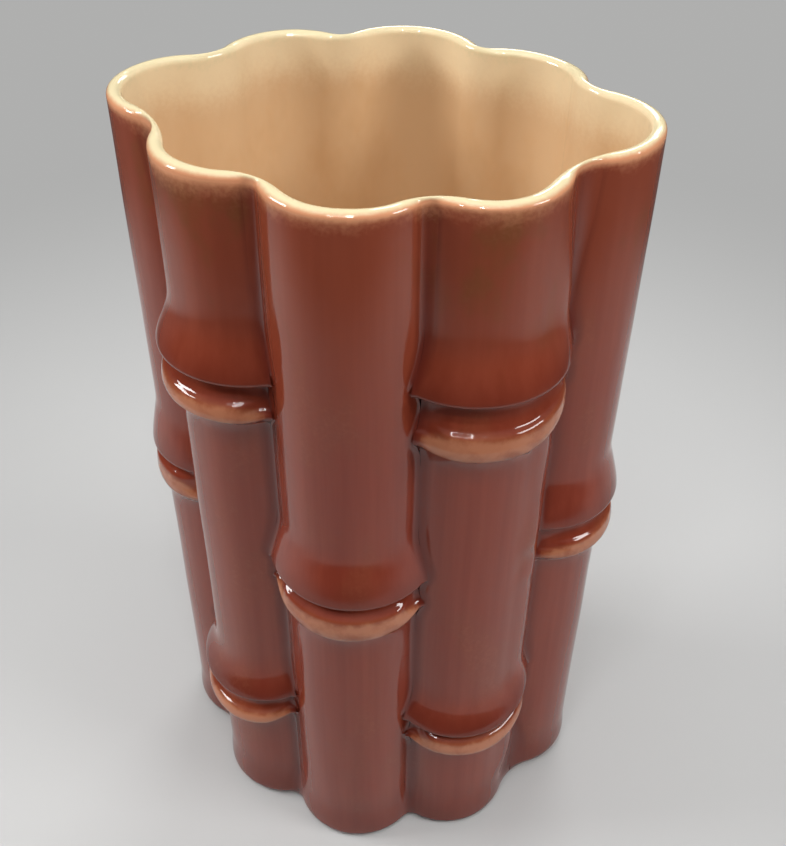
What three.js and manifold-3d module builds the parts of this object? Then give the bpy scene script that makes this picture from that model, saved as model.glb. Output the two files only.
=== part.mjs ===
// Glazed ceramic vase shaped like a bundle of eight bamboo culms. Millimetres, +Z up.
// The long side runs along X, the front culm faces -Y, and the vase stands on Z = 0.
import * as THREE from 'three';
import { mergeVertices } from 'three/addons/utils/BufferGeometryUtils.js';
import Module from 'manifold-3d';

const wasm = await Module();
wasm.setup();

// Whole vase
const HEIGHT = 240;
const SEAM = 0.3;
const CULM_BOTTOM = 0.4;
const RIM_BAND = 3.6;
const RIM_ROUND = 2.0;
const CHAMFER_STEP = 0.35;

// Where the culms stand in plan. The two end culms stand a little behind the middle.
const CULM_RADIUS = 20.4;
const END_X = 48.1;
const END_Y = 1.2;
const FRONT_Y = 35.3;
const CORNER_X = 28.5;
const CORNER_Y = 24.6;

// Wall, counted inwards from the culm surface
const SHELL = 2.3;
const WALL = 4.5;

// Floor and foot
const FLOOR_BOTTOM = 3.0;
const FLOOR_TOP = 7.5;
const FOOT_RING_WIDTH = 7.0;
const FOOT_RADIUS = 21.2;
const FOOT_ROUND = 2.6;
const FOOT_FLARE = 16;

// Swelling of a culm at a node. Each pair is a share of the swell and a share of the height.
// A collar's height is counted down from the crease, over its lip and up its hollow.
// A bell's height is counted up from the crease, round its edge and up to the straight culm.
const COLLAR_CURVE = [[0, 1], [0.8, 0.92], [1, 0.68], [0.66, 0.36], [0.3, 0]];
const BELL_CURVE = [[0.3, 0], [1, 0.09], [0.48, 0.38], [0, 1]];
const BELL_RISE = 24;
const CURVE_STEPS = 6;

// Fineness of the round forms
const ROUND_STEPS = 36;
const LOBE_ARC = { steps: 9, clockwise: false };
const RIDGE_ARC = { steps: 4, clockwise: true };
const SAME_POINT = 1e-4;

// Side of the blocks used for level cuts
const BLOCK_SIDE = 300;

// One row per culm, in order around the vase. Each node is a crease height and the collar's height.
const TWO_NODES = 4.7;
const ONE_NODE = 3.8;
const CULMS = [
  { name: 'front_centre', x: 0, y: -FRONT_Y, swell: ONE_NODE, nodes: [[120, 13.3]] },
  { name: 'front_right', x: CORNER_X, y: -CORNER_Y, swell: TWO_NODES, nodes: [[56, 10.5], [186.7, 17.4]] },
  { name: 'right_end', x: END_X, y: END_Y, swell: ONE_NODE, nodes: [[124.6, 13.9]] },
  { name: 'back_right', x: CORNER_X, y: CORNER_Y, swell: TWO_NODES, nodes: [[57, 12.5], [185.5, 14.5]] },
  { name: 'back_centre', x: 0, y: FRONT_Y, swell: ONE_NODE, nodes: [[121, 13.3]] },
  { name: 'back_left', x: -CORNER_X, y: CORNER_Y, swell: TWO_NODES, nodes: [[57, 12.5], [185.5, 14.5]] },
  { name: 'left_end', x: -END_X, y: END_Y, swell: ONE_NODE, nodes: [[126.7, 12.9]] },
  { name: 'front_left', x: -CORNER_X, y: -CORNER_Y, swell: TWO_NODES, nodes: [[58.3, 13.5], [184.2, 12.4]] },
];

// Materials
function redGlaze() {
  return new THREE.MeshStandardMaterial({ color: 0x8f3d33, roughness: 0.18, metalness: 0 });
}

function tanGlaze() {
  return new THREE.MeshStandardMaterial({ color: 0xa8603f, roughness: 0.2, metalness: 0 });
}

function creamGlaze() {
  return new THREE.MeshStandardMaterial({ color: 0xd9c3a2, roughness: 0.22, metalness: 0 });
}

function bareClay() {
  return new THREE.MeshStandardMaterial({ color: 0xcdb699, roughness: 0.85, metalness: 0 });
}

// Solids
function solidOf(geometry) {
  const bare = geometry.index ? geometry.toNonIndexed() : geometry.clone();
  bare.deleteAttribute('normal');
  bare.deleteAttribute('uv');
  const merged = mergeVertices(bare, SAME_POINT);
  const vertProperties = new Float32Array(merged.attributes.position.array);
  const triVerts = new Uint32Array(merged.index.array);
  return new wasm.Manifold(new wasm.Mesh({ numProp: 3, vertProperties, triVerts }));
}

function meshOf(name, solid, material, x = 0, y = 0) {
  const { numProp, vertProperties, triVerts } = solid.translate(-x, -y, 0).getMesh();
  const positions = new Float32Array((vertProperties.length / numProp) * 3);
  for (let i = 0; i < positions.length / 3; i += 1) {
    positions.set(vertProperties.subarray(i * numProp, i * numProp + 3), i * 3);
  }
  const geometry = new THREE.BufferGeometry();
  geometry.setAttribute('position', new THREE.BufferAttribute(positions, 3));
  geometry.setIndex(new THREE.BufferAttribute(new Uint32Array(triVerts), 1));
  geometry.computeVertexNormals();
  const mesh = new THREE.Mesh(geometry, material);
  mesh.name = name;
  return mesh;
}

function slab(low, high) {
  const geometry = new THREE.BoxGeometry(BLOCK_SIDE, BLOCK_SIDE, high - low);
  geometry.translate(0, 0, (low + high) / 2);
  return solidOf(geometry);
}

// Plan outline of the bundle, moved inwards by an even depth
function grooveAfter(index) {
  const here = CULMS[index];
  const next = CULMS[(index + 1) % CULMS.length];
  const middle = new THREE.Vector2((here.x + next.x) / 2, (here.y + next.y) / 2);
  const across = new THREE.Vector2(next.x - here.x, next.y - here.y);
  const reach = Math.sqrt(CULM_RADIUS ** 2 - across.lengthSq() / 4);
  const outwards = new THREE.Vector2(across.y, -across.x).normalize();
  return middle.addScaledVector(outwards, reach);
}

function arcPoints(centre, radius, from, to, { steps, clockwise }) {
  const start = Math.atan2(from.y - centre.y, from.x - centre.x);
  const end = Math.atan2(to.y - centre.y, to.x - centre.x);
  const arc = new THREE.EllipseCurve(centre.x, centre.y, radius, radius, start, end, clockwise);
  return arc.getPoints(steps).slice(0, -1);
}

function bundlePoints(depth) {
  const points = [];
  CULMS.forEach((culm, index) => {
    const before = grooveAfter((index + CULMS.length - 1) % CULMS.length);
    const after = grooveAfter(index);
    const next = CULMS[(index + 1) % CULMS.length];
    points.push(...arcPoints(culm, CULM_RADIUS - depth, before, after, LOBE_ARC));
    if (depth > 0) {
      points.push(...arcPoints(after, depth, culm, next, RIDGE_ARC));
    }
  });
  return points;
}

function bundleShape(depth, holeDepth) {
  const shape = new THREE.Shape(bundlePoints(depth));
  if (holeDepth !== undefined) {
    shape.holes.push(new THREE.Path(bundlePoints(holeDepth)));
  }
  return shape;
}

function bundlePrism(shape, low, high) {
  const geometry = new THREE.ExtrudeGeometry(shape, {
    depth: high - low,
    bevelEnabled: false,
  });
  geometry.translate(0, 0, low);
  return solidOf(geometry);
}

// Half outline of a culm, from its foot up to the seam under the rim
function culmProfile(culm, grow) {
  const radius = CULM_RADIUS + grow;
  const top = HEIGHT - RIM_BAND + SEAM / 2;
  const footEdge = new THREE.EllipseCurve(
    FOOT_RADIUS + grow - FOOT_ROUND,
    CULM_BOTTOM + FOOT_ROUND,
    FOOT_ROUND,
    FOOT_ROUND,
    -Math.PI / 2,
    0,
  );
  const points = [new THREE.Vector2(0, CULM_BOTTOM), ...footEdge.getPoints(3)];
  points.push(new THREE.Vector2(radius, FOOT_FLARE));
  culm.nodes.forEach(([crease, collar]) => {
    const onCollar = ([out, down]) => new THREE.Vector2(radius + culm.swell * out, crease - collar * down);
    const onBell = ([out, up]) => new THREE.Vector2(radius + culm.swell * out, crease + BELL_RISE * up);
    const collarCurve = new THREE.SplineCurve(COLLAR_CURVE.map(onCollar));
    const bellCurve = new THREE.SplineCurve(BELL_CURVE.map(onBell));
    points.push(...collarCurve.getPoints(CURVE_STEPS).slice(0, -1));
    points.push(...bellCurve.getPoints(CURVE_STEPS));
  });
  points.push(new THREE.Vector2(radius, top), new THREE.Vector2(0, top));
  return points;
}

function culmSolid(culm, grow) {
  const geometry = new THREE.LatheGeometry(culmProfile(culm, grow), ROUND_STEPS);
  geometry.rotateX(Math.PI / 2);
  geometry.translate(culm.x, culm.y, 0);
  return solidOf(geometry);
}

const core = bundlePrism(bundleShape(SHELL), -SEAM, HEIGHT + SEAM);

// A culm with one node is let in between its two neighbours, which have two nodes each
function culmShell(index) {
  const culm = CULMS[index];
  let shell = culmSolid(culm, 0).subtract(core);
  if (culm.nodes.length === 1) {
    const before = CULMS[(index + CULMS.length - 1) % CULMS.length];
    const after = CULMS[(index + 1) % CULMS.length];
    shell = shell.subtract(culmSolid(before, SEAM)).subtract(culmSolid(after, SEAM));
  }
  return shell;
}

// Cuts a culm into its internodes and collars, named from the foot upwards, in a group on its axis
function culmGroup(index) {
  const culm = CULMS[index];
  const shell = culmShell(index);
  const group = new THREE.Group();
  group.position.set(culm.x, culm.y, 0);
  const addPiece = (name, low, high, material) => {
    const piece = shell.intersect(slab(low, high));
    group.add(meshOf(`${culm.name}_${name}`, piece, material, culm.x, culm.y));
  };
  const internodes = ['foot', 'middle'];
  const collars = culm.nodes.length === 1 ? ['collar'] : ['lower_collar', 'upper_collar'];
  let low = -SEAM;
  culm.nodes.forEach(([crease, collar], place) => {
    const under = crease - collar;
    addPiece(`${internodes[place]}_internode`, low, under - SEAM / 2, redGlaze());
    addPiece(collars[place], under + SEAM / 2, crease - SEAM / 2, tanGlaze());
    low = crease + SEAM / 2;
  });
  addPiece('top_internode', low, HEIGHT - RIM_BAND - SEAM / 2, redGlaze());
  return group;
}

// Top of one culm as a disc with a rounded edge, part of the rim
function rimDisc(culm) {
  const low = HEIGHT - RIM_BAND + SEAM / 2;
  const outline = new THREE.Path();
  outline.moveTo(0, low);
  outline.lineTo(CULM_RADIUS, low);
  outline.absarc(CULM_RADIUS - RIM_ROUND, HEIGHT - RIM_ROUND, RIM_ROUND, 0, Math.PI / 2, false);
  outline.lineTo(0, HEIGHT);
  const geometry = new THREE.LatheGeometry(outline.getPoints(2), ROUND_STEPS);
  geometry.rotateX(Math.PI / 2);
  geometry.translate(culm.x, culm.y, 0);
  return solidOf(geometry);
}

// Cutter that widens the mouth from one depth in the wall to a smaller one
function mouthChamfer(lowDepth, highDepth, low, high) {
  const geometry = new THREE.ExtrudeGeometry(bundleShape(highDepth), {
    depth: RIM_BAND,
    bevelEnabled: true,
    bevelThickness: high - low,
    bevelSize: lowDepth - highDepth,
    bevelOffset: highDepth - lowDepth,
    bevelSegments: 1,
  });
  geometry.translate(0, 0, high);
  return solidOf(geometry);
}

function innerVessel() {
  const shoulder = HEIGHT - RIM_BAND + SEAM;
  let vessel = bundlePrism(bundleShape(SHELL + SEAM), FLOOR_BOTTOM, shoulder);
  CULMS.forEach((culm) => {
    vessel = vessel.add(rimDisc(culm));
  });
  const middleDepth = WALL - RIM_ROUND * CHAMFER_STEP;
  const middleHeight = HEIGHT - RIM_ROUND * CHAMFER_STEP;
  vessel = vessel.subtract(bundlePrism(bundleShape(WALL), FLOOR_TOP, HEIGHT + SEAM));
  vessel = vessel.subtract(mouthChamfer(WALL, middleDepth, HEIGHT - RIM_ROUND, middleHeight));
  vessel = vessel.subtract(mouthChamfer(middleDepth, WALL - RIM_ROUND, middleHeight, HEIGHT));
  return meshOf('inner_vessel', vessel, creamGlaze());
}

function footRing() {
  const outer = SHELL + SEAM;
  const ring = bundlePrism(bundleShape(outer, outer + FOOT_RING_WIDTH), 0, FLOOR_BOTTOM - SEAM);
  return meshOf('foot_ring', ring, bareClay());
}

const vase = new THREE.Group();
vase.name = 'bamboo_vase';
vase.add(innerVessel());
vase.add(footRing());
CULMS.forEach((culm, index) => vase.add(culmGroup(index)));

export default vase;
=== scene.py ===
from math import atan2, cos, pi, radians, sin, sqrt
import bpy
import bmesh
from mathutils import Matrix, Vector, noise


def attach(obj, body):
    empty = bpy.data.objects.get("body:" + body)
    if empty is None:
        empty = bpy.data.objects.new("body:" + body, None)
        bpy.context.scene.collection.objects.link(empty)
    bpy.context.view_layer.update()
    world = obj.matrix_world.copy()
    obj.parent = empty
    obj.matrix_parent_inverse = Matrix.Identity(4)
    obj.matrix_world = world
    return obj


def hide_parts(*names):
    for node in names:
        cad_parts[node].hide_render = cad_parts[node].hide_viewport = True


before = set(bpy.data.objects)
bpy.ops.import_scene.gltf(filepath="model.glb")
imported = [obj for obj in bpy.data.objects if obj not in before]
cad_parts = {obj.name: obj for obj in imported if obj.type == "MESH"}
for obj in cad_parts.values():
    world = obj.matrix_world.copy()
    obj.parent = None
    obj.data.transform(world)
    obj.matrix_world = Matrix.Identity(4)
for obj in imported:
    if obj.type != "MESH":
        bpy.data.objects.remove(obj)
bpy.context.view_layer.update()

mm = 0.001
print("frame loaded,", len(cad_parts), "nodes")

# the bundle, in millimetres
vase = {
    "top": 240.0,        # top of the CAD's rim
    "height": 239.9,     # crest of the modelled rim
    "radius": 20.4,
    "shell": 2.3,        # culm pieces, counted in from the skin
    "gap": 0.3,          # behind the culm pieces
    "wall": 4.5,         # whole wall
    "rimBand": 3.6,
    "bottom": 0.4,
    "footRadius": 21.1,
    "footFlare": (3, 16.0),
    "dent": 0.16,        # hand-made unevenness
    "dentSize": 26.0,
}
rimSeam = vase["top"] - vase["rimBand"]
behind = vase["shell"] + vase["gap"]

# Culms, counter-clockwise from the front as seen from above. A node has the height of its crease, the
# height of its collar and where the collar's ledge is, then for either side how far the crease climbs to
# the groove and how much the collar narrows. "groove" is the round hollow after the culm: its radius at
# the rim, at the foot and on the inside. "drop" lowers the rim, "footRound" rounds the lower edge, and
# "broad" makes the straight wall fuller on the side of the hollow.
oneNode, twoNodes = 3.7, 4.6
culms = [
    {"name": "front_centre", "at": (0, -35.3), "swell": oneNode, "footRound": 2.6, "drop": 0.7,
     "groove": (3.2, 4.4, 24),
     "nodes": [{"crease": 120.0, "collar": 13.3, "ledge": 0.26, "climb": (1.2, 0.6), "narrow": (0.42, 0.2)}]},
    {"name": "front_right", "at": (28.5, -24.6), "swell": twoNodes, "footRound": 2.6, "drop": 1.4,
     "groove": (9, 20, 40), "broad": 2.3,
     "nodes": [{"crease": 55.2, "collar": 10.3, "ledge": 0.22, "climb": (3.2, 4.8), "narrow": (0.05, 0.35)},
               {"crease": 186.7, "collar": 17.4, "ledge": 0.45, "climb": (0, 0.8), "narrow": (0.1, 0.42)}]},
    {"name": "right_end", "at": (48.1, 1.2), "swell": oneNode, "footRound": 5.5, "drop": 0.0,
     "groove": (6, 9, 20),
     "nodes": [{"crease": 124.6, "collar": 13.9, "ledge": 0.42, "climb": (0, 1.0), "narrow": (0.1, 0.1)}]},
    {"name": "back_right", "at": (28.5, 24.6), "swell": twoNodes, "footRound": 3.0, "drop": 0.9,
     "groove": (0.9, 3, 16),
     "nodes": [{"crease": 57.0, "collar": 12.5, "ledge": 0.36, "climb": (1.5, 2.0), "narrow": (0.1, 0.1)},
               {"crease": 185.5, "collar": 14.5, "ledge": 0.42, "climb": (1.0, 0.5), "narrow": (0.2, 0.2)}]},
    {"name": "back_centre", "at": (0, 35.3), "swell": oneNode, "footRound": 2.6, "drop": 0.5,
     "groove": (0.9, 3, 16),
     "nodes": [{"crease": 121.0, "collar": 13.3, "ledge": 0.3, "climb": (0.6, 1.0), "narrow": (0.2, 0.2)}]},
    {"name": "back_left", "at": (-28.5, 24.6), "swell": twoNodes, "footRound": 3.0, "drop": 0.0,
     "groove": (7, 9, 24),
     "nodes": [{"crease": 57.0, "collar": 12.5, "ledge": 0.36, "climb": (2.0, 1.5), "narrow": (0.1, 0.1)},
               {"crease": 185.5, "collar": 14.5, "ledge": 0.42, "climb": (0.5, 1.0), "narrow": (0.2, 0.2)}]},
    {"name": "left_end", "at": (-49.0, 1.2), "swell": 2.8, "footRound": 5.5, "drop": 0.0,
     "groove": (9, 11, 40),
     "nodes": [{"crease": 126.7, "collar": 12.9, "ledge": 0.22, "climb": (1.0, 0), "narrow": (0.1, 0.1)}]},
    {"name": "front_left", "at": (-28.5, -24.6), "swell": twoNodes, "footRound": 3.6, "drop": 0.0,
     "groove": (3.2, 6.0, 24),
     "nodes": [{"crease": 57.0, "collar": 13.2, "ledge": 0.5, "climb": (0.8, 3.6), "narrow": (0.1, 0.25)},
               {"crease": 184.2, "collar": 12.4, "ledge": 0.42, "climb": (0.5, 0), "narrow": (0.1, 0.1)}]},
]

# a node's outline: millimetres from the crease, share of the swell
node = {
    "lowBelow": 100.0,   # a crease under this height belongs to a low node
    "bellRise": 23.0,
    "bellTwo": [(0, 0.12), (0.3, 0.45), (0.8, 0.78), (1.4, 0.95), (2.1, 1.0), (3.0, 0.955), (4.0, 0.88),
                (5.5, 0.745), (7.5, 0.56), (10, 0.35), (12.5, 0.175), (15, 0.065), (18, 0.015), (23, 0)],
    "bellLow": [(0, 0.12), (0.3, 0.45), (0.8, 0.78), (1.4, 0.95), (2.1, 1.0), (3.0, 0.945), (4.0, 0.855),
                (5.5, 0.69), (7.5, 0.47), (9.5, 0.28), (12, 0.12), (15, 0.035), (18, 0.008), (23, 0)],
    "bellOne": [(0, 0.12), (0.3, 0.45), (0.8, 0.78), (1.4, 0.95), (2.1, 1.0), (3.0, 0.97), (5.0, 0.855),
                (8.0, 0.645), (11, 0.425), (13.5, 0.24), (16, 0.085), (18.5, 0.02), (23, 0)],
    # down to the ledge and over it: shares of its depth, then millimetres past it
    "scoop": [(0, 0.12), (0.36, 0.16), (0.64, 0.27), (0.85, 0.42)],
    "ledge": [(0, 0.57), (0.5, 0.74), (1.3, 0.87)],
    "lipTop": [(0.34, 0.95), (0.54, 1.0), (0.74, 0.955)],   # shares of the way from ledge to lower edge
    "lipUnder": [(-1.3, 0.84), (-0.4, 0.63), (0.5, 0.40), (1.4, 0.20), (2.8, 0.07), (4.6, 0)],
    "lipTail": 4.6,
    "ledgeRoom": 1.8,    # room kept above the lower edge
    "lipRoom": 1.5,
    "lipStep": 0.2,      # and between two points
    "tipFrom": 0.62,     # from here to the groove a lip thins to a low tip
    "tipLedge": 0.62,
    "tipSwell": 0.76,
}

# mesh columns across a culm, rows on a collar, and how evenly the columns lie
grid = {"lobe": 44, "groove": 11, "collar": 46, "even": 0.72, "bunched": 0.28}

# fuller side of a broad culm: across its face, then up its wall
fuller = {"side": (0.3, 0.85), "ebb": 0.3, "from": (8, 30), "to": (205, 237)}

# round hollows between the culms, sharper beside the end culms
hollows = {"footFade": 22, "sharpFrom": (14, 32), "sharpTo": (205, 237), "sharper": 0.7, "sharpInside": 18}

# blurred sides: samples in a millimetre, how many, and how many either way count
blur = {"perMm": 2, "count": 501, "reach": 10}


def collarOutline(collar, ledge, high=1.0):
    # from the crease down over the ledge and the lip to the culm below
    depth = ledge * collar
    points = [(depth * down, share) for down, share in node["scoop"]]
    points += [(depth + down, share) for down, share in node["ledge"]
               if depth + down < collar - node["ledgeRoom"]]
    least, most = points[-1][0] + node["lipStep"], collar - node["lipRoom"]
    points += [(depth + down * (collar - depth), share) for down, share in node["lipTop"]
               if least < depth + down * (collar - depth) < most]
    points += [(collar + down, share) for down, share in node["lipUnder"]]
    base = points[0][1]
    return [(down, share if share < base else base + (share - base) * high) for down, share in points]


for culm in culms:
    culm["end"] = culm["name"].endswith("_end")
    culm["single"] = len(culm["nodes"]) == 1
    for spec in culm["nodes"]:
        spec["low"] = spec["crease"] < node["lowBelow"]
        spec["bell"] = node["bellOne" if culm["single"] else "bellLow" if spec["low"] else "bellTwo"]
        spec["outline"] = collarOutline(spec["collar"], spec["ledge"])
        spec["tip"] = collarOutline(spec["collar"], node["tipLedge"], node["tipSwell"])


def curveAt(points, x):
    # smooth curve through a list of points
    for i in range(len(points) - 1):
        if x <= points[i + 1][0]:
            break
    (x0, y0), (x1, y1) = points[i], points[i + 1]
    before, after = points[max(i - 1, 0)], points[min(i + 2, len(points) - 1)]
    slope0 = (y1 - before[1]) / (x1 - before[0])
    slope1 = (after[1] - y0) / (after[0] - x0)
    span = x1 - x0
    t = min(max((x - x0) / span, 0), 1)
    return (y0 * (1 + 2 * t) * (1 - t) ** 2 + slope0 * span * t * (1 - t) ** 2
            + y1 * t * t * (3 - 2 * t) - slope1 * span * t * t * (1 - t))


def easeIn(low, high, x):
    t = min(max((x - low) / (high - low), 0), 1)
    return t * t * (3 - 2 * t)


def fromCrease(spec, z, place):
    # height above the crease; below it, counted in collar millimetres
    above = z - spec["crease"] - spec["climb"][place > 0] * place * place
    if above < 0:
        above /= 1 - spec["narrow"][place > 0] * place * place
    return above


def tipShare(place):
    return easeIn(node["tipFrom"], 1, abs(place))


def nodeShare(spec, above, place):
    # share of the swell at a height above or below the crease
    if 0 <= above < node["bellRise"]:
        return curveAt(spec["bell"], above)
    if -spec["collar"] - node["lipTail"] < above < 0:
        share = curveAt(spec["outline"], -above)
        return share + (curveAt(spec["tip"], -above) - share) * tipShare(place)
    return 0.0


def culmOut(culm, z, place):
    # radius of a culm at a height; place runs from -1 to 1 across its face
    out = vase["radius"] + (vase["footRadius"] - vase["radius"]) * (1 - easeIn(*vase["footFlare"], z))
    edge = vase["bottom"] + culm["footRound"]
    if z < edge:
        out += sqrt(max(culm["footRound"] ** 2 - (edge - z) ** 2, 0)) - culm["footRound"]
    start, full = fuller["side"]
    broad = culm.get("broad", 0) * (easeIn(start, full, place) - fuller["ebb"] * easeIn(full, 1, place))
    broad *= easeIn(*fuller["from"], z) * (1 - easeIn(*fuller["to"], z))
    for spec in culm["nodes"]:
        share = nodeShare(spec, fromCrease(spec, z, place), place)
        broad *= 1 - min(share, 1)
        out += culm["swell"] * share
    return out + broad


def softSide(culm, side):
    # radius at the groove with the nodes blurred, as the culm next to it feels them
    exact = [culmOut(culm, z / blur["perMm"], side) for z in range(blur["count"])]
    reach = blur["reach"]
    soft = []
    for i in range(len(exact)):
        near = range(max(i - reach, 0), min(i + reach + 1, len(exact)))
        weight = [reach + 1 - abs(k - i) for k in near]
        soft.append(sum(exact[k] * w for k, w in zip(near, weight)) / sum(weight))
    return soft


for culm in culms:
    culm["soft"] = {side: softSide(culm, side) for side in (-1, 1)}


def softOut(culm, z, side):
    step = min(max(z * blur["perMm"], 0), blur["count"] - 2)
    i = int(step)
    first, second = culm["soft"][side][i:i + 2]
    return first + (second - first) * (step - i)


def grooveCentre(index, other, z, depth, even):
    # centre of the round hollow between two culms, and its radius
    culm, beside = culms[index], culms[other]
    here, there = Vector(culm["at"]), Vector(beside["at"])
    side = 1 if other == (index + 1) % len(culms) else -1
    high, low, inside = (culm if side > 0 else beside)["groove"]
    hollow = high + (low - high) * (1 - easeIn(0, hollows["footFade"], z))
    if culm["end"] or beside["end"]:
        sharp = easeIn(*hollows["sharpFrom"], z) * (1 - easeIn(*hollows["sharpTo"], z))
        hollow *= 1 - hollows["sharper"] * sharp
        inside -= (inside - hollows["sharpInside"]) * sharp
    hollow += (inside - hollow) * min(depth / vase["wall"], 1)
    if even:
        a = b = vase["radius"] - depth + hollow
    else:
        a, b = culmOut(culm, z, side) + hollow, softOut(beside, z, -side) + hollow
    gap = there - here
    length = gap.length
    along = (a * a - b * b + length * length) / (2 * length)
    rise = sqrt(max(a * a - along * along, 0))
    gap /= length
    out = Vector((gap.y, -gap.x))
    if out.dot(here + there) < 0:
        out = -out
    return here + gap * along + out * rise, hollow


def turned(angle):
    return (angle + pi) % (2 * pi) - pi


def skinColumns():
    # groove, lobe, groove: (part, place) from the clockwise side to the other
    n, g = grid["lobe"], grid["groove"]
    columns = [("before", 1 - i / g) for i in range(g)]
    columns += [("lobe", -1 + 2 * i / n) for i in range(n + 1)]
    columns += [("after", (i + 1) / g) for i in range(g)]
    return columns


def facePlace(column):
    part, place = column
    return place if part == "lobe" else (-1 if part == "before" else 1)


def skinPoint(index, column, z, depth, even):
    # point of the outline at a height, and the way out of the wall there
    culm = culms[index]
    part, place = column
    centre = Vector(culm["at"])
    before, after = (index - 1) % len(culms), (index + 1) % len(culms)
    if part == "lobe":
        start = grooveCentre(index, before, z, depth, even)[0] - centre
        stop = grooveCentre(index, after, z, depth, even)[0] - centre
        first = atan2(start.y, start.x)
        sweep = turned(atan2(stop.y, stop.x) - first)
        if sweep < 0:
            sweep += 2 * pi
        packed = grid["even"] * place + grid["bunched"] * sin(place * pi / 2)
        angle = first + sweep * (packed + 1) / 2
        way = Vector((cos(angle), sin(angle)))
        out = vase["radius"] if even else culmOut(culm, z, place)
        return centre + way * (out - depth), way
    other = before if part == "before" else after
    hollowAt, hollow = grooveCentre(index, other, z, depth, even)
    toHere = centre - hollowAt
    toThere = Vector(culms[other]["at"]) - hollowAt
    first = atan2(toHere.y, toHere.x)
    half = turned(atan2(toThere.y, toThere.x) - first) / 2
    angle = first + half * place
    way = Vector((-cos(angle), -sin(angle)))
    return hollowAt - way * hollow, way


def dentedPoint(index, column, z, depth=0.0, even=False):
    # the same point with the hand-made unevenness, which dies out inside the wall
    point, way = skinPoint(index, column, z, depth, even)
    spot = Vector((point.x, point.y, z))
    push = vase["dent"] * max(1 - depth / vase["shell"], 0) * noise.noise(spot / vase["dentSize"])
    return spot + Vector((way.x, way.y, 0)) * push


# height of a mesh row, finer where the outline turns, and how far each of these zones goes
rowSize = {"plain": 4.0, "foot": 0.4, "flare": 1.6, "crease": 0.2, "lip": 0.6, "bell": 0.9, "beside": 0.8}
rowZone = {"foot": 6, "crease": 3, "lip": 8, "below": 5, "climb": 26}


def nearNode(spec, z):
    return -spec["collar"] - rowZone["below"] <= z - spec["crease"] < node["bellRise"]


def rowStep(index, z):
    step = rowSize["plain"]
    if z < rowZone["foot"]:
        step = rowSize["foot"]
    elif z < vase["footFlare"][1]:
        step = rowSize["flare"]
    for spec in culms[index]["nodes"]:
        above = z - spec["crease"]
        if 0 <= above < rowZone["crease"]:
            step = min(step, rowSize["crease"])
        elif nearNode(spec, z):
            step = min(step, rowSize["lip" if above < rowZone["lip"] else "bell"])
    for other in (index - 1, (index + 1) % len(culms)):
        if any(nearNode(spec, z) for spec in culms[other]["nodes"]):
            step = min(step, rowSize["beside"])
    return step


def internodeRows(index, low, high, lowSides, highSides):
    # rows of a piece: height in the middle of the face and at the groove on either side
    hair = 1e-6   # a row on the border of a zone counts as past it
    rows = [low]
    while rows[-1] < high:
        rows.append(rows[-1] + rowStep(index, rows[-1] + hair))
    stretch = (high - low) / (rows[-1] - low)
    heights = [low + (z - low) * stretch for z in rows]
    reach = min(rowZone["climb"], high - low)
    result = []
    for z in heights:
        fromLow, fromHigh = 1 - easeIn(low, low + reach, z), easeIn(high - reach, high, z)
        sides = [z + fromLow * a + fromHigh * b for a, b in zip(lowSides, highSides)]
        result.append((z, *sides))
    return result


def collarSides(spec):
    # climb of the collar's lower edge towards the grooves
    return [climb + narrow * spec["collar"] for climb, narrow in zip(spec["climb"], spec["narrow"])]


def collarRows(spec):
    count = grid["collar"]
    rows = []
    for i in range(count, -1, -1):
        down = spec["collar"] * i / count
        z = spec["crease"] - down
        sides = [z + climb + narrow * down for climb, narrow in zip(spec["climb"], spec["narrow"])]
        rows.append((z, *sides))
    return rows


# painted shade and pooled glaze, and how the glaze ran: strength of a mark, then where it starts and ends
flow = {
    # painted shade towards and down a groove, partly pooled glaze, with less of it near the rim
    "grooveEdge": (0.5, 0.87, 1.0),    # across a face, darker
    "grooveTop": (0.4, 190, 236),      # up a groove, less dark
    # painted contact shadow along the foot's edge, partly pooled glaze, then painted shade low on the wall
    "footEdge": (0.95, 1.6, 5.4),      # up from the foot, less dark
    "lowShade": (0.55, 4, 34),
    # darker up from a crease, more on the low bells
    "bell": (0.58, 1, 15),             # up from a crease, less dark
    "bellLow": (0.72, 1, 15),
    "lipSides": (0.45, 0.84, 1),       # across a lip, less thin
    "rim": (0.15, 231.5, rimSeam),     # up to the rim, paler
    # on a collar, in millimetres or in shares of the scoop or the lip
    # painted shade in the scoop under a bell's overhang
    "scoopShade": 0.55,
    "scoopFrom": 0.1,
    "thinBefore": 1.0,
    "thinRamp": (1.6, 0.36),
    "lipFade": (0.2, 0.5, 1),
    "lipEnd": (1.2, 0.6),
    "collarPast": 1,
    "thinInGroove": 0.8,
    "thinOverShadeAndPool": 0.7,
}


def rises(mark, x):
    strength, low, high = flow[mark]
    return strength * easeIn(low, high, x)


def falls(mark, x):
    strength, low, high = flow[mark]
    return strength * (1 - easeIn(low, high, x))


def lipThin(collar, depth, down):
    # thin glaze over the lip, from the ledge to the collar's lower edge
    lip = collar - depth
    least, share = flow["thinRamp"]
    fade, middle, edge = flow["lipFade"]
    before, past = flow["lipEnd"]
    thin = easeIn(depth - flow["thinBefore"], depth + max(least, share * lip), down)
    thin *= 1 - fade * easeIn(depth + middle * lip, collar - edge, down)
    return thin * (1 - easeIn(collar - before, collar + past, down))


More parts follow.
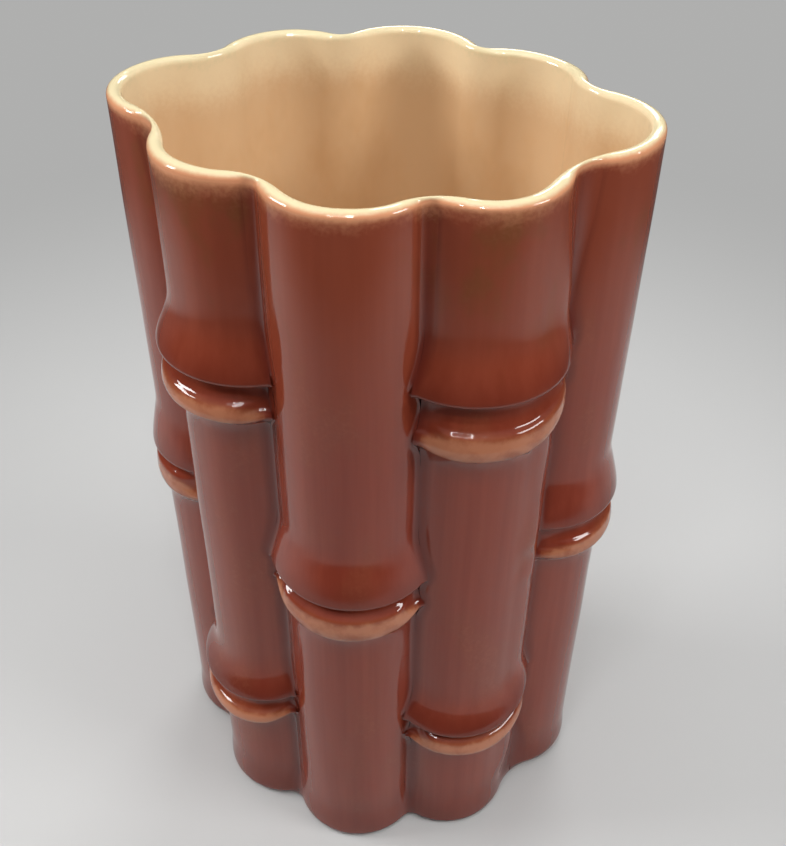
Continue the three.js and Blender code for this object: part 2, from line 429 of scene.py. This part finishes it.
def glazeMarks(index, column, z):
    # painted shade, partly pooled glaze, in the grooves, in the scoops, at the foot and low on the wall,
    # darker up from a crease; where the glaze ran thin over a lip, and the pale band under the rim
    part, along = column
    place = facePlace(column)
    # painted shade towards the grooves, partly pooled glaze
    if part == "lobe":
        shadeAndPool = rises("grooveEdge", abs(place))
    else:
        shadeAndPool = (0.5 + 0.5 * along) * (1 - rises("grooveTop", z))
    # painted contact shadow at the foot and painted shade low on the wall
    shadeAndPool = max(shadeAndPool, falls("footEdge", z), falls("lowShade", z))
    thin = 0.0
    for spec in culms[index]["nodes"]:
        above = fromCrease(spec, z, place)
        ledge = spec["ledge"] + (node["tipLedge"] - spec["ledge"]) * tipShare(place)
        collar, depth, down = spec["collar"], ledge * spec["collar"], -above
        if above >= 0:
            shadeAndPool = max(shadeAndPool, falls("bellLow" if spec["low"] else "bell", above))
        elif down < collar + flow["collarPast"]:
            # painted shade in the scoop under the bell
            shadeAndPool = max(shadeAndPool, flow["scoopShade"] * (1 - easeIn(flow["scoopFrom"] * depth, depth, down)))
            thin = lipThin(collar, depth, down) * (1 - rises("lipSides", abs(place)))
            if part != "lobe":
                thin *= flow["thinInGroove"] * (1 - along) ** 2
    return shadeAndPool * (1 - flow["thinOverShadeAndPool"] * thin), thin, rises("rim", z)


def newObject(bm, name, nodeName, material):
    bmesh.ops.recalc_face_normals(bm, faces=bm.faces[:])
    for face in bm.faces:
        face.smooth = True
    mesh = bpy.data.meshes.new(name)
    bm.to_mesh(mesh)
    bm.free()
    mesh.materials.append(material)
    piece = bpy.data.objects.new(name, mesh)
    bpy.context.scene.collection.objects.link(piece)
    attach(piece, "root")
    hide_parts(nodeName)


def culmPiece(index, nodeName, rows, material):
    columns = skinColumns()
    bm = bmesh.new()
    columnOf = bm.verts.layers.int.new("column")
    rowOf = bm.verts.layers.int.new("row")
    # marks: painted shade with some pooled glaze, thin glaze over the lips, and the pale rim band
    marks = [bm.verts.layers.float.new(name) for name in ("shadeAndPool", "thin", "rim")]
    bmesh.ops.create_grid(bm, x_segments=len(columns) - 1, y_segments=len(rows) - 1, size=0.5)
    for vert in bm.verts:
        vert[columnOf] = round((vert.co.x + 0.5) * (len(columns) - 1))
        vert[rowOf] = round((vert.co.y + 0.5) * (len(rows) - 1))
    skin = bm.faces[:]
    back = bmesh.ops.extrude_face_region(bm, geom=skin)["geom"]
    inner = {item for item in back if isinstance(item, bmesh.types.BMVert)}
    for vert in bm.verts:
        column = columns[vert[columnOf]]
        middle, *sides = rows[vert[rowOf]]
        place = facePlace(column)
        z = middle + (sides[place > 0] - middle) * place * place
        if vert in inner:
            vert.co = dentedPoint(index, column, z, vase["shell"], even=True) * mm
        else:
            vert.co = dentedPoint(index, column, z) * mm
            for layer, value in zip(marks, glazeMarks(index, column, z)):
                vert[layer] = value
    outside = set(skin)
    for edge in bm.edges:   # crisp where the skin turns into the hidden wall
        if len({face in outside for face in edge.link_faces}) == 2:
            edge.smooth = False
    for name in ("column", "row"):
        bm.verts.layers.int.remove(bm.verts.layers.int[name])
    newObject(bm, nodeName + "_glazed", nodeName, material)


# inner vessel: rings from under the floor, up the hidden wall, over the rim and down the inside
vessel = {
    "floorBottom": 3.0,
    "floorTop": 7.5,
    "floorRound": 7.0,
    "underRings": (0.35, 0.9, 1),               # shares of the outline
    "floorRings": (0.72, 0.55, 0.36, 0.18),
    "backRings": (10, 15, 20, 25, 30, 60, 120, 180, 205, 212, 219, 225, 231),
    "skirt": ((0, 0, 0.15), (0, 0.5, 0.2), (0.02, 1.0, 0.26)),   # depth, height over the seam, colour
    "crestFoot": 1.4,
    "crestPower": 0.72,
    "rimSteps": 14,
    "wallSteps": 40,
    "cornerSteps": 8,
    "cornerRadius": 46,
    "rimWidth": 3.8,
    "wallMore": 0.5,                            # the wall thickens below the rim
    "rimWave": 0.35,
    "waveSize": 19,
    "dropFrom": 0.1,
    "crestColour": (0.32, 0.68, 0.1),           # at its outer foot, to the crest, and on past it
    "crestPast": (0.55, 1),
    # paler cream just inside the crest is painted light on the shaded inner lip; tan and deeper orange
    # further down are painted shade and bounced light
    "insideColour": (1.1, 0.5, 0.4),            # at the top, then more within these depths
    "insideNear": (1, 22),
    "insideFar": (16, 120),
    "floorColour": 2,
}


def vesselRings():
    # share of the outline, depth in the wall, height, and colour: 0 red, then tan, 1 cream, 2 low inside
    top, thick = vase["height"], vase["wall"] + vessel["wallMore"]
    rings = [(scale, behind, vessel["floorBottom"], 0) for scale in vessel["underRings"]]
    rings += [(1, behind, z, 0) for z in (*vessel["backRings"], rimSeam)]
    rings += [(1, depth, rimSeam + up, colour) for depth, up, colour in vessel["skirt"]]
    low = rimSeam + vessel["crestFoot"]
    start, toCream, past = vessel["crestColour"]
    for i in range(vessel["rimSteps"] + 1):   # rounded crest
        share = i / vessel["rimSteps"]
        angle = pi * i / vessel["rimSteps"]
        depth = vessel["rimWidth"] / 2 * (1 - cos(angle))
        z = low + (top - low) * sin(angle) ** vessel["crestPower"]
        colour = start + toCream * min(share / 0.5, 1) + past * easeIn(*vessel["crestPast"], share)
        rings.append((1, depth, z, colour))
    bend = vessel["floorTop"] + vessel["floorRound"]
    start, near, far = vessel["insideColour"]
    for i in range(1, vessel["wallSteps"] + 1):
        z = low - 1 + (bend - low + 1) * i / vessel["wallSteps"]
        depth = vessel["rimWidth"] + (thick - vessel["rimWidth"]) * easeIn(0, 0.5, i / vessel["wallSteps"])
        down = top - z
        colour = start + near * easeIn(*vessel["insideNear"], down) + far * easeIn(*vessel["insideFar"], down)
        rings.append((1, depth, z, colour))
    for i in range(1, vessel["cornerSteps"] + 1):   # rounded corner at the floor
        angle = pi / 2 * i / vessel["cornerSteps"]
        inward = vessel["floorRound"] * (1 - cos(angle))
        z = bend - vessel["floorRound"] * sin(angle)
        rings.append((1 - inward / vessel["cornerRadius"], thick, z, vessel["floorColour"]))
    rings += [(scale, thick, vessel["floorTop"], vessel["floorColour"]) for scale in vessel["floorRings"]]
    return rings


def rimDrop(index, column):
    # the rim is a little lower over some culms, and half way between two of them at the groove
    place = facePlace(column)
    beside = culms[(index + (1 if place > 0 else -1)) % len(culms)]
    own = culms[index]["drop"]
    return own + (beside["drop"] - own) * 0.5 * easeIn(vessel["dropFrom"], 1, abs(place))


def ringWalk(rings, wave=0.0):
    # pulls one closed ring of edges from ring to ring; returns the mesh with its first and last ring
    slots = [(i, column) for i in range(len(culms)) for column in skinColumns()[:-1]]
    bm = bmesh.new()
    rimOf = bm.verts.layers.float.new("rim")
    bmesh.ops.create_circle(bm, cap_ends=False, segments=len(slots), radius=1)
    loop, edges = list(bm.verts), list(bm.edges)
    first = edges
    for count, (scale, depth, z, rim) in enumerate(rings):
        if count:
            if depth == 0 and rings[count - 1][1] == 0 and rings[count - 2][1] > 0:
                for edge in edges:   # crisp at the seam under the rim
                    edge.smooth = False
            moved = bmesh.ops.extrude_edge_only(bm, edges=edges)["geom"]
            edges = [item for item in moved if isinstance(item, bmesh.types.BMEdge)]
            fresh = {item for item in moved if isinstance(item, bmesh.types.BMVert)}
            loop = [next(e.other_vert(v) for e in v.link_edges if e.other_vert(v) in fresh) for v in loop]
        for vert, (index, column) in zip(loop, slots):
            spot = dentedPoint(index, column, z, depth, even=True)
            spot.x *= scale
            spot.y *= scale
            if wave:
                uneven = wave * (0.5 + 0.5 * noise.noise(spot / vessel["waveSize"]))
                spot.z -= easeIn(rimSeam, vase["height"], z) * (rimDrop(index, column) + uneven)
            vert.co = spot * mm
            vert[rimOf] = rim
    return bm, first, edges


def closePole(bm, edges, z):
    verts = list({vert for edge in edges for vert in edge.verts})
    bmesh.ops.pointmerge(bm, verts=verts, merge_co=Vector((0, 0, z * mm)))


def vesselPiece(material):
    bm, first, last = ringWalk(vesselRings(), vessel["rimWave"])
    closePole(bm, first, vessel["floorBottom"])
    closePole(bm, last, vessel["floorTop"])
    newObject(bm, "inner_vessel_glazed", "inner_vessel", material)


# unglazed ring that the vase stands on
foot = {"width": 7.0, "high": 2.7, "edge": 0.5, "corner": 0.3}


def footPiece(material):
    inner = behind + foot["width"]
    edge, high = foot["edge"], foot["high"]
    turn = foot["corner"] * edge
    walk = [(behind, high), (behind, edge), (behind + turn, turn), (behind + edge, 0)]
    walk += [((behind + inner) / 2, 0), (inner - edge, 0), (inner - turn, turn), (inner, edge), (inner, high)]
    bm, first, last = ringWalk([(1, depth, z, 0) for depth, z in walk])
    bmesh.ops.bridge_loops(bm, edges=first + last)
    newObject(bm, "foot_ring_clay", "foot_ring", material)


# materials
def newTree(name):
    material = bpy.data.materials.new(name)
    material.use_nodes = True
    tree = material.node_tree
    return material, tree, tree.nodes["Principled BSDF"]


def feed(tree, socket, value):
    if isinstance(value, bpy.types.NodeSocket):
        tree.links.new(value, socket)
    else:
        socket.default_value = value


def mixed(tree, factor, a, b):
    mix = tree.nodes.new("ShaderNodeMix")
    mix.data_type = "RGBA"
    feed(tree, mix.inputs[0], factor)
    feed(tree, mix.inputs[6], a)
    feed(tree, mix.inputs[7], b)
    return mix.outputs[2]


def ranged(tree, value, low, high, toLow=0.0, toHigh=1.0):
    spread = tree.nodes.new("ShaderNodeMapRange")
    spread.interpolation_type = "SMOOTHSTEP"
    feed(tree, spread.inputs["Value"], value)
    spread.inputs["From Min"].default_value = low
    spread.inputs["From Max"].default_value = high
    spread.inputs["To Min"].default_value = toLow
    spread.inputs["To Max"].default_value = toHigh
    return spread.outputs["Result"]


def summed(tree, operation, a, b):
    sums = tree.nodes.new("ShaderNodeMath")
    sums.operation = operation
    feed(tree, sums.inputs[0], a)
    feed(tree, sums.inputs[1], b)
    return sums.outputs[0]


def noisy(tree, vector, scale, detail, rough=0.5):
    texture = tree.nodes.new("ShaderNodeTexNoise")
    tree.links.new(vector, texture.inputs["Vector"])
    texture.inputs["Scale"].default_value = scale
    texture.inputs["Detail"].default_value = detail
    texture.inputs["Roughness"].default_value = rough
    return texture.outputs["Fac"]


def stretched(tree, vector, scale):
    mapping = tree.nodes.new("ShaderNodeMapping")
    tree.links.new(vector, mapping.inputs["Vector"])
    mapping.inputs["Scale"].default_value = scale
    return mapping.outputs["Vector"]


def attribute(tree, name):
    reader = tree.nodes.new("ShaderNodeAttribute")
    reader.attribute_name = name
    return reader.outputs["Fac"]


def objectPlace(tree):
    return tree.nodes.new("ShaderNodeTexCoord").outputs["Object"]


def newGroup(name, outputs):
    group = bpy.data.node_groups.new(name, "ShaderNodeTree")
    group.interface.new_socket("Vector", in_out="INPUT", socket_type="NodeSocketVector")
    for socket in outputs:
        group.interface.new_socket(socket, in_out="OUTPUT", socket_type="NodeSocketFloat")
    return group, group.nodes.new("NodeGroupInput").outputs["Vector"], group.nodes.new("NodeGroupOutput")


# noise of the glaze: upright stretch, scale, detail, roughness
runNoise = {
    "thinStreak": (0.035, 330, 4, 0.6),
    "wideStreak": (0.08, 95, 2, 0.5),
    "cloud": (0.55, 42, 4, 0.6),
    "mottle": (1, 210, 3, 0.6),
    "speck": (1, 900, 2, 0.5),
    "dimple": (1, 120, 2, 0.5),
    "ridge": (0.12, 260, 2, 0.5),
}
noiseSpan = (0.3, 0.7)   # where such noise mostly lies


def glazeRunGroup():
    # glaze that ran down the wall: streaks, cloudy patches and the faint ripple of its surface
    group, vector, out = newGroup("glazeRun", ["Streak", "Cloud", "Mottle", "Speck", "Ripple"])
    found = {}
    for name, (upright, scale, detail, rough) in runNoise.items():
        place = vector if upright == 1 else stretched(group, vector, (1, 1, upright))
        found[name] = noisy(group, place, scale, detail, rough)
    half = {name: summed(group, "MULTIPLY", found[name], 0.5)
            for name in ("thinStreak", "wideStreak", "ridge")}
    group.links.new(summed(group, "ADD", half["thinStreak"], half["wideStreak"]), out.inputs["Streak"])
    group.links.new(summed(group, "ADD", found["dimple"], half["ridge"]), out.inputs["Ripple"])
    for socket in ("Cloud", "Mottle", "Speck"):
        group.links.new(found[socket.lower()], out.inputs[socket])
    return group


def glazeRun(tree):
    run = tree.nodes.new("ShaderNodeGroup")
    run.node_tree = runGroup
    tree.links.new(objectPlace(tree), run.inputs["Vector"])
    return run.outputs


def bumped(tree, shader, height, strength, distance):
    bump = tree.nodes.new("ShaderNodeBump")
    bump.inputs["Strength"].default_value = strength
    bump.inputs["Distance"].default_value = distance
    tree.links.new(height, bump.inputs["Height"])
    tree.links.new(bump.outputs["Normal"], shader.inputs["Normal"])


glaze = {
    "deep": (0.200, 0.031, 0.015, 1),
    "body": (0.245, 0.046, 0.024, 1),
    "brown": (0.190, 0.058, 0.020, 1),
    # dark red of painted shade, partly pooled glaze
    "shadeAndPoolColour": (0.112, 0.016, 0.009, 1),
    "tan": (0.275, 0.070, 0.032, 1),
    "paleTan": (0.450, 0.172, 0.090, 1),
    "rimTan": (0.720, 0.320, 0.165, 1),
    "cream": (0.820, 0.700, 0.430, 1),
    # paler cream inside the crest: painted light
    "rimInside": (0.930, 0.750, 0.475, 1),
    # tan, and deeper orange lower down: painted shade and bounced light inside the vessel
    "inside": (0.755, 0.515, 0.292, 1),
    "insideLow": (0.800, 0.515, 0.265, 1),
    "insideStain": (0.640, 0.385, 0.185, 1),
    "rough": 0.05,
    "roughMore": 0.03,
    "ior": 1.5,
    "ripple": 0.08,
    "lipRipple": 0.2,
    "rippleDepth": 0.0006,
    "lipTan": 0.95,        # how much of the tan a lip shows
    "thinSwing": 0.2,      # how uneven the edges of these marks are
    "shadeAndPoolSwing": 0.08,
    "rimSwing": 0.06,
    "rimSpeck": 0.02,
}

# where a colour comes in, on a mark or a noise, and with four values how much of it
bands = {
    "rimTan": (0.04, 0.40),
    "cream": (0.46, 0.86),
    "rimInside": (1.0, 1.12),
    "inside": (1.1, 1.55),
    "insideLow": (1.5, 2.0),
    "insideStain": (0.47, 0.72, 0, 0.42),
    "tan": (0.05, 0.6),
    "paleTan": (0.4, 1.1),
    "shadeAndPoolColour": (0.1, 1.0, 0, 0.95),
    "brown": (0.5, 0.66),
    "brownUp": (0.19, 0.232, 0.15, 0.95),   # up the wall, in metres
    "tanUp": (0.16, 0.235, 0, 0.45),
}


def swing(tree, value, most):
    # noise turned into a push either way
    return ranged(tree, value, *noiseSpan, -most, most)


def redBody(tree, run):
    colour = mixed(tree, ranged(tree, run["Streak"], *noiseSpan), glaze["deep"], glaze["body"])
    parts = tree.nodes.new("ShaderNodeSeparateXYZ")
    tree.links.new(objectPlace(tree), parts.inputs[0])
    up = parts.outputs["Z"]
    colour = mixed(tree, ranged(tree, up, *bands["tanUp"]), colour, glaze["tan"])
    patch = summed(tree, "MULTIPLY", ranged(tree, run["Cloud"], *bands["brown"]),
                   ranged(tree, up, *bands["brownUp"]))
    return mixed(tree, patch, colour, glaze["brown"])


def glossOf(tree, shader, run, ripple):
    shader.inputs["IOR"].default_value = glaze["ior"]
    rough = ranged(tree, run["Cloud"], *noiseSpan, glaze["rough"], glaze["rough"] + glaze["roughMore"])
    tree.links.new(rough, shader.inputs["Roughness"])
    bumped(tree, shader, run["Ripple"], ripple, glaze["rippleDepth"])


def rimEdge(tree, run):
    # uneven edge of the pale rim
    rim = summed(tree, "ADD", attribute(tree, "rim"), swing(tree, run["Cloud"], glaze["rimSwing"]))
    return summed(tree, "ADD", rim, swing(tree, run["Speck"], glaze["rimSpeck"]))


def culmGlaze(name, tanShare, ripple):
    material, tree, shader = newTree(name)
    run = glazeRun(tree)
    thin = summed(tree, "ADD", attribute(tree, "thin"), swing(tree, run["Cloud"], glaze["thinSwing"]))
    mottled = summed(tree, "ADD", thin, swing(tree, run["Mottle"], glaze["thinSwing"]))
    tan = mixed(tree, ranged(tree, mottled, *bands["paleTan"]), glaze["tan"], glaze["paleTan"])
    colour = mixed(tree, ranged(tree, thin, *bands["tan"], 0, tanShare), redBody(tree, run), tan)
    # painted shade in grooves, scoops, at the foot and low on the wall, partly pooled glaze, laid on as dark
    # red
    shadeAndPool = summed(tree, "ADD", attribute(tree, "shadeAndPool"), swing(tree, run["Cloud"], glaze["shadeAndPoolSwing"]))
    colour = mixed(tree, ranged(tree, shadeAndPool, *bands["shadeAndPoolColour"]), colour, glaze["shadeAndPoolColour"])
    colour = mixed(tree, ranged(tree, rimEdge(tree, run), *bands["rimTan"]), colour, glaze["rimTan"])
    tree.links.new(colour, shader.inputs["Base Color"])
    glossOf(tree, shader, run, ripple)
    return material


def vesselGlaze(name):
    material, tree, shader = newTree(name)
    run = glazeRun(tree)
    rim = rimEdge(tree, run)
    # the inside darkens and warms with depth: painted shade and bounced light, with stains on top
    inside = mixed(tree, ranged(tree, rim, *bands["insideLow"]), glaze["inside"], glaze["insideLow"])
    stain = ranged(tree, run["Cloud"], *bands["insideStain"])
    inside = mixed(tree, stain, inside, glaze["insideStain"])
    # paler cream just inside the crest: painted light
    cream = mixed(tree, ranged(tree, rim, *bands["rimInside"]), glaze["cream"], glaze["rimInside"])
    cream = mixed(tree, ranged(tree, rim, *bands["inside"]), cream, inside)
    colour = mixed(tree, ranged(tree, rim, *bands["rimTan"]), redBody(tree, run), glaze["rimTan"])
    colour = mixed(tree, ranged(tree, rim, *bands["cream"]), colour, cream)
    tree.links.new(colour, shader.inputs["Base Color"])
    glossOf(tree, shader, run, glaze["ripple"])
    return material


clay = {"light": (0.62, 0.50, 0.37, 1), "dark": (0.47, 0.35, 0.24, 1), "speck": (0.35, 0.65),
        "rough": (0.78, 0.95), "grain": 0.35, "grainDepth": 0.0003}


def bareClay(name):
    material, tree, shader = newTree(name)
    run = glazeRun(tree)
    colour = mixed(tree, ranged(tree, run["Speck"], *clay["speck"]), clay["light"], clay["dark"])
    tree.links.new(colour, shader.inputs["Base Color"])
    tree.links.new(ranged(tree, run["Speck"], *noiseSpan, *clay["rough"]), shader.inputs["Roughness"])
    bumped(tree, shader, run["Speck"], clay["grain"], clay["grainDepth"])
    return material


runGroup = glazeRunGroup()
redGlaze = culmGlaze("redGlaze", 0.0, glaze["ripple"])
collarGlaze = culmGlaze("collarGlaze", glaze["lipTan"], glaze["lipRipple"])
creamGlaze = vesselGlaze("creamGlaze")
clayBody = bareClay("bareClay")
print("glazes ready")

for index, culm in enumerate(culms):
    collarNames = ["collar"] if culm["single"] else ["lower_collar", "upper_collar"]
    low, lowSides = vase["bottom"], (0, 0)
    for place, spec in enumerate(culm["nodes"]):
        part = culm["name"] + "_" + ("foot", "middle")[place] + "_internode"
        rows = internodeRows(index, low, spec["crease"] - spec["collar"], lowSides, collarSides(spec))
        culmPiece(index, part, rows, redGlaze)
        part = culm["name"] + "_" + collarNames[place]
        culmPiece(index, part, collarRows(spec), collarGlaze)
        low, lowSides = spec["crease"], spec["climb"]
    part = culm["name"] + "_top_internode"
    rows = internodeRows(index, low, rimSeam, lowSides, (0, 0))
    culmPiece(index, part, rows, redGlaze)
    print(culm["name"], "modelled")

vesselPiece(creamGlaze)
footPiece(clayBody)
print("inner vessel and foot modelled")

# stage, in metres
studio = {
    "floorHalf": 4,
    "floor": (0.53, 0.53, 0.525, 1),
    "fleck": (0.45, 0.45, 0.45, 1),
    "fleckShare": 0.06,
    "fleckNoise": (5, 2),      # scale, detail
    "floorRough": 0.6,
    "reach": (0.46, 0.345),    # how far the glaze mirrors the floor as pale, sideways and to the front
    "reachEdge": (0.75, 1.2, 0.15, 1.0),
    "dim": (0.05, 0.05, 0.05, 1),
    "backdrop": (0.43, 0.43, 0.425, 1),
    "backdropFrom": (0.12, 0.5),
    "horizon": 0.02,
    "sky": 0.30,
    "skyRise": (0.2, 0.75),
}


def lengthOf(tree, vector):
    measure = tree.nodes.new("ShaderNodeVectorMath")
    measure.operation = "LENGTH"
    tree.links.new(vector, measure.inputs[0])
    return measure.outputs["Value"]


def rayIs(tree, kind):
    return tree.nodes.new("ShaderNodeLightPath").outputs[kind]


def floorPaper():
    material, tree, shader = newTree("floorPaper")
    place = objectPlace(tree)
    fleck = ranged(tree, noisy(tree, place, *studio["fleckNoise"]), *noiseSpan, 0, studio["fleckShare"])
    tone = mixed(tree, fleck, studio["floor"], studio["fleck"])
    # mirror rays find the floor darker further off
    across, along = studio["reach"]
    far = lengthOf(tree, stretched(tree, place, (1 / across, 1 / along, 0)))
    darker = summed(tree, "MULTIPLY", ranged(tree, far, *studio["reachEdge"]), rayIs(tree, "Is Glossy Ray"))
    tree.links.new(mixed(tree, darker, tone, studio["dim"]), shader.inputs["Base Color"])
    shader.inputs["Roughness"].default_value = studio["floorRough"]
    # far off the floor runs into the backdrop
    paper = tree.nodes.new("ShaderNodeEmission")
    paper.inputs["Color"].default_value = studio["backdrop"]
    gone = ranged(tree, lengthOf(tree, place), *studio["backdropFrom"])
    blend = tree.nodes.new("ShaderNodeMixShader")
    tree.links.new(summed(tree, "MULTIPLY", gone, rayIs(tree, "Is Camera Ray")), blend.inputs[0])
    tree.links.new(shader.outputs[0], blend.inputs[1])
    tree.links.new(paper.outputs[0], blend.inputs[2])
    tree.links.new(blend.outputs[0], tree.nodes["Material Output"].inputs["Surface"])
    return material


def floorGround():
    bm = bmesh.new()
    bmesh.ops.create_grid(bm, x_segments=4, y_segments=4, size=studio["floorHalf"])
    mesh = bpy.data.meshes.new("floor")
    bm.to_mesh(mesh)
    bm.free()
    mesh.materials.append(floorPaper())
    floor = bpy.data.objects.new("floor", mesh)
    bpy.context.scene.collection.objects.link(floor)


def studioWorld():
    world = bpy.data.worlds.new("studio")
    bpy.context.scene.world = world
    world.use_nodes = True
    tree = world.node_tree
    # soft light from above that dies out towards the horizon
    parts = tree.nodes.new("ShaderNodeSeparateXYZ")
    tree.links.new(tree.nodes.new("ShaderNodeTexCoord").outputs["Generated"], parts.inputs[0])
    sky = ranged(tree, parts.outputs["Z"], *studio["skyRise"], studio["horizon"], studio["sky"])
    shown = mixed(tree, rayIs(tree, "Is Camera Ray"), sky, studio["backdrop"])
    tree.links.new(shown, tree.nodes["Background"].inputs["Color"])


# soft lamps, all aimed at the vase: place, size, power
aim = (0, 0, 0.1)
lamps = {
    "overhead": ((0, -0.25, 1.8), (1.3, 1.0), 6.2),
    "right": ((1.1, -0.2, 0.8), (0.5, 0.3), 6.8),
    "left": ((-1.1, -0.15, 0.8), (0.5, 0.3), 9),
    "back": ((0.1, 1.15, 0.9), (0.7, 0.3), 5),
}

# lit frame of four strips in front, for the glaze to mirror
panel = {"centre": (0.03, -0.62, 1.25), "wide": 0.5, "high": 0.22, "strip": 0.02, "power": 5.8}


def softLamp(name, place, target, size, power):
    lamp = bpy.data.lights.new(name, "AREA")
    lamp.shape = "RECTANGLE"
    lamp.size, lamp.size_y = size
    lamp.energy = power
    holder = bpy.data.objects.new(name, lamp)
    holder.location = place
    holder.rotation_euler = (Vector(target) - Vector(place)).to_track_quat("-Z", "Y").to_euler()
    bpy.context.scene.collection.objects.link(holder)


def panelLamps():
    wide, high, strip = panel["wide"], panel["high"], panel["strip"]
    centre = Vector(panel["centre"])
    turn = (Vector(aim) - centre).to_track_quat("-Z", "Y")
    sides = {"Top": (0, high / 2, wide, strip), "Bottom": (0, -high / 2, wide, strip),
             "OneSide": (-wide / 2, 0, strip, high), "OtherSide": (wide / 2, 0, strip, high)}
    for name, (x, y, across, up) in sides.items():
        place = centre + turn @ Vector((x, y, 0))
        power = panel["power"] * max(across, up) / (2 * wide + 2 * high)
        softLamp("panel" + name, place, place + turn @ Vector((0, 0, -1)), (across, up), power)


floorGround()
for name, (place, size, power) in lamps.items():
    softLamp(name, place, aim, size, power)
panelLamps()
studioWorld()
print("stage lit")

# camera at the photograph's angle
shot = {"place": (0.04995, -0.24430, 0.34493), "turn": 10.652, "tilt": 50.4385, "roll": 0.633,
        "lens": 45.67, "sensor": 36}
camera = bpy.data.cameras.new("shot")
camera.lens = shot["lens"]
camera.sensor_width = shot["sensor"]
eye = bpy.data.objects.new("shot", camera)
look = Matrix.Translation(shot["place"])
for angle, axis in (("turn", "Z"), ("tilt", "X"), ("roll", "Z")):
    look = look @ Matrix.Rotation(radians(shot[angle]), 4, axis)
eye.matrix_world = look
bpy.context.scene.collection.objects.link(eye)
bpy.context.scene.camera = eye
bpy.context.scene.view_settings.view_transform = "Standard"
